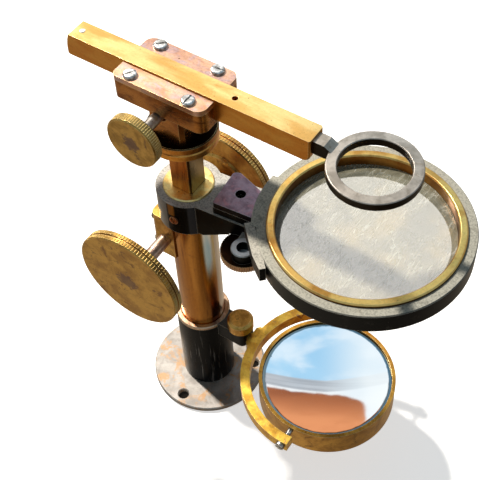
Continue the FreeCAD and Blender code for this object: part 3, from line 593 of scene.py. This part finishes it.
# ------------------------------------------------------------------ floor, light and camera
def pale_floor():
    """A pale glowing floor just under the flange, with painted shade where the flange covers it."""
    size, depth = FLOOR_HALF, cad_box[0][2] - FLOOR_GAP
    mesh = bpy.data.meshes.new("floor")
    corners = [(-size, -size, depth), (size, -size, depth), (size, size, depth), (-size, size, depth)]
    mesh.from_pydata(corners, [], [(0, 1, 2, 3)])
    floor = bpy.data.objects.new("floor", mesh)
    bpy.context.collection.objects.link(floor)
    f = Finish("floor_paper", metallic=0.0)
    tone = f.noise(60.0, detail=2, seed=1)
    colour = f.mix(tone, rgb("f6f5f3"), rgb("fbfaf9"))
    outside_painted_shade = f.level(f.radius_from(PILLAR, "Z"), *FLANGE_SHADE_MM)
    # painted shade under the flange
    colour = f.mix(outside_painted_shade, rgb("1d1a17"), colour)
    f.feed(f.bsdf.inputs["Base Color"], colour)
    f.set("Roughness", 0.9)
    f.set("Specular IOR Level", 0.0)
    f.feed(f.bsdf.inputs["Emission Color"], colour)
    f.set("Emission Strength", FLOOR_GLOW)
    mesh.materials.append(f.mat)
    floor.visible_glossy = False
    floor.visible_diffuse = False


def studio_world():
    """A pale sky above and a warm bench below, brighter to the left where the key stands."""
    world = bpy.data.worlds.new("studio")
    bpy.context.scene.world = world
    world.use_nodes = True
    g = Graph(world.node_tree, "Generated")
    split = g.add("ShaderNodeSeparateXYZ")
    g.feed(split.inputs[0], g.space)
    across, height = split.outputs["X"], split.outputs["Z"]
    to_key = g.add("ShaderNodeVectorMath", operation="DOT_PRODUCT")
    g.feed(to_key.inputs[0], g.space)
    to_key.inputs[1].default_value = KEY_WAY
    clouds = g.add("ShaderNodeTexNoise")
    g.feed(clouds.inputs["Vector"], g.space)
    clouds.inputs["Scale"].default_value = 3.2
    clouds.inputs["Detail"].default_value = 4.0
    clouds.inputs["Distortion"].default_value = 0.4
    white = g.calc("MAXIMUM", g.level(to_key.outputs["Value"], 0.72, 0.97),
                   g.level(clouds.outputs["Fac"], 0.46, 0.66))
    sky = g.mix(white, SKY_BLUE, SKY_WHITE)
    to_shadow = g.add("ShaderNodeVectorMath", operation="DOT_PRODUCT")
    g.feed(to_shadow.inputs[0], g.space)
    to_shadow.inputs[1].default_value = SHADOW_WAY
    dark = g.calc("MAXIMUM", g.level(to_shadow.outputs["Value"], 0.52, 0.59),
                  g.calc("MULTIPLY", g.level(across, 0.05, 0.45), 0.5))
    bench = g.mix(dark, BENCH_LIT, BENCH_DARK)
    side = g.mix(g.level(height, -0.20, 0.05), bench, HORIZON)
    colour = g.mix(g.level(height, 0.02, 0.45), side, sky)
    seen = g.add("ShaderNodeLightPath").outputs["Is Camera Ray"]
    colour = g.mix(seen, colour, BACKDROP)
    scattered = g.add("ShaderNodeLightPath").outputs["Is Diffuse Ray"]
    colour = g.mix(scattered, colour, SCATTERED, "MULTIPLY")
    back = world.node_tree.nodes["Background"]
    g.feed(back.inputs["Color"], colour)
    back.inputs["Strength"].default_value = SKY_STRENGTH


def view_card():
    """The surroundings that the mirror shows: sky, a pale far wall and a warm yard, on one glowing card
    that only shiny faces see. Its x and y are millimetres to the right and upwards on the card."""
    half = CARD_HALF_MM * MM
    mesh = bpy.data.meshes.new("view_card")
    mesh.from_pydata([(-half, -half, 0), (half, -half, 0), (half, half, 0), (-half, half, 0)], [],
                     [(0, 1, 2, 3)])
    card = bpy.data.objects.new("view_card", mesh)
    bpy.context.collection.objects.link(card)
    turn = Matrix((CARD_ASIDE, CARD_ASIDE.cross(CARD_WAY), CARD_WAY)).transposed().to_4x4()
    card.matrix_world = Matrix.Translation(MIRROR + CARD_WAY * CARD_DISTANCE_MM * MM) @ turn
    f = Finish("view_card", metallic=0.0)
    split = f.add("ShaderNodeSeparateXYZ")
    f.feed(split.inputs[0], f.space)
    x = f.calc("MULTIPLY", split.outputs["X"], 1 / MM)
    y = f.calc("MULTIPLY", split.outputs["Y"], 1 / MM)
    cloud = f.noise(11.0, detail=4, seed=3, bend=0.5)
    glare = f.level(x, 2.5, -7.5)
    sky = f.mix(f.calc("MULTIPLY", f.level(cloud, 0.42, 0.68), 0.7), rgb("abd7f4"), rgb("eef8ff"))
    lean = f.calc("MULTIPLY", f.calc("MINIMUM", x, 0.0), 0.35)
    line = f.calc("ADD", y, lean)
    ledge = f.noise(1.1, detail=2, stretch=(12, 1, 1), seed=5)
    wall = f.mix(ledge, rgb("868b93"), rgb("dfe4ea"))
    wall = f.mix(f.level(line, -4.4, -5.2), wall, rgb("f6f8fa"))
    picture = f.mix(f.level(line, -0.2, 0.3), wall, sky)
    picture = f.mix(f.calc("MULTIPLY", glare, 0.85), picture, rgb("f7fdff"))

    # the yard ends in a rounded corner at the left and the top
    u = f.calc("MAXIMUM", f.calc("DIVIDE", f.calc("ADD", x, 1.0), -4.9), 0.0)
    v = f.calc("MAXIMUM", f.calc("DIVIDE", f.calc("ADD", y, 12.0), 6.0), 0.0)
    out = f.calc("POWER", f.calc("ADD", f.calc("MULTIPLY", u, u), f.calc("MULTIPLY", v, v)), 0.5)
    streaky = f.noise(2.0, detail=4, stretch=(1, 4, 1), seed=7)
    out = f.calc("ADD", out, f.calc("MULTIPLY", f.calc("SUBTRACT", streaky, 0.5), 0.35))
    yard = f.mix(f.level(y, -5, -20), rgb("94573c"), rgb("e89a6a"))
    yard = f.mix(f.calc("MULTIPLY", f.level(cloud, 0.40, 0.60), 0.35), yard, rgb("c4794f"))
    picture = f.mix(f.level(out, 1.12, 0.94), picture, yard)
    f.set("Base Color", (0, 0, 0, 1))
    f.set("Specular IOR Level", 0.0)
    f.feed(f.bsdf.inputs["Emission Color"], picture)
    f.set("Emission Strength", CARD_GLOW)
    mesh.materials.append(f.mat)
    for flag in ("visible_camera", "visible_diffuse", "visible_shadow"):
        setattr(card, flag, False)


def key_light():
    """A small square light like a hazy sun, which looks at the middle of the object."""
    light = bpy.data.lights.new("key", "AREA")
    light.shape = "SQUARE"
    light.size = KEY_SIZE
    light.energy = KEY_POWER
    light.color = KEY_COLOUR
    lamp = bpy.data.objects.new("key", light)
    bpy.context.collection.objects.link(lamp)
    middle = (Vector(cad_box[0]) + Vector(cad_box[1])) / 2
    lamp.location = middle + Vector(KEY_WAY).normalized() * KEY_DISTANCE
    lamp.rotation_euler = (lamp.location - middle).to_track_quat("Z", "Y").to_euler()


def camera_view():
    """The camera stands high at the right front and looks down at the pillar and stage."""
    azimuth = math.radians(CAMERA_AZIMUTH)
    elevation = math.radians(CAMERA_ELEVATION)
    roll = math.radians(CAMERA_ROLL)
    back = Vector((math.sin(azimuth) * math.cos(elevation), -math.cos(azimuth) * math.cos(elevation),
                   math.sin(elevation)))
    right = Vector((math.cos(azimuth), math.sin(azimuth), 0))
    up = back.cross(right)
    side = math.cos(roll) * right + math.sin(roll) * up
    top = -math.sin(roll) * right + math.cos(roll) * up
    data = bpy.data.cameras.new("camera")
    data.sensor_width = CAMERA_SENSOR
    data.lens = CAMERA_LENS
    data.clip_start = CAMERA_NEAR
    camera = bpy.data.objects.new("camera", data)
    bpy.context.collection.objects.link(camera)
    turn = Matrix((side, top, back)).transposed().to_4x4()
    camera.matrix_world = Matrix.Translation(CAMERA_TARGET + back * CAMERA_DISTANCE) @ turn
    bpy.context.scene.camera = camera
    bpy.context.scene.view_settings.view_transform = "Standard"


dress_nodes()
pale_floor()
studio_world()
key_light()
view_card()
camera_view()
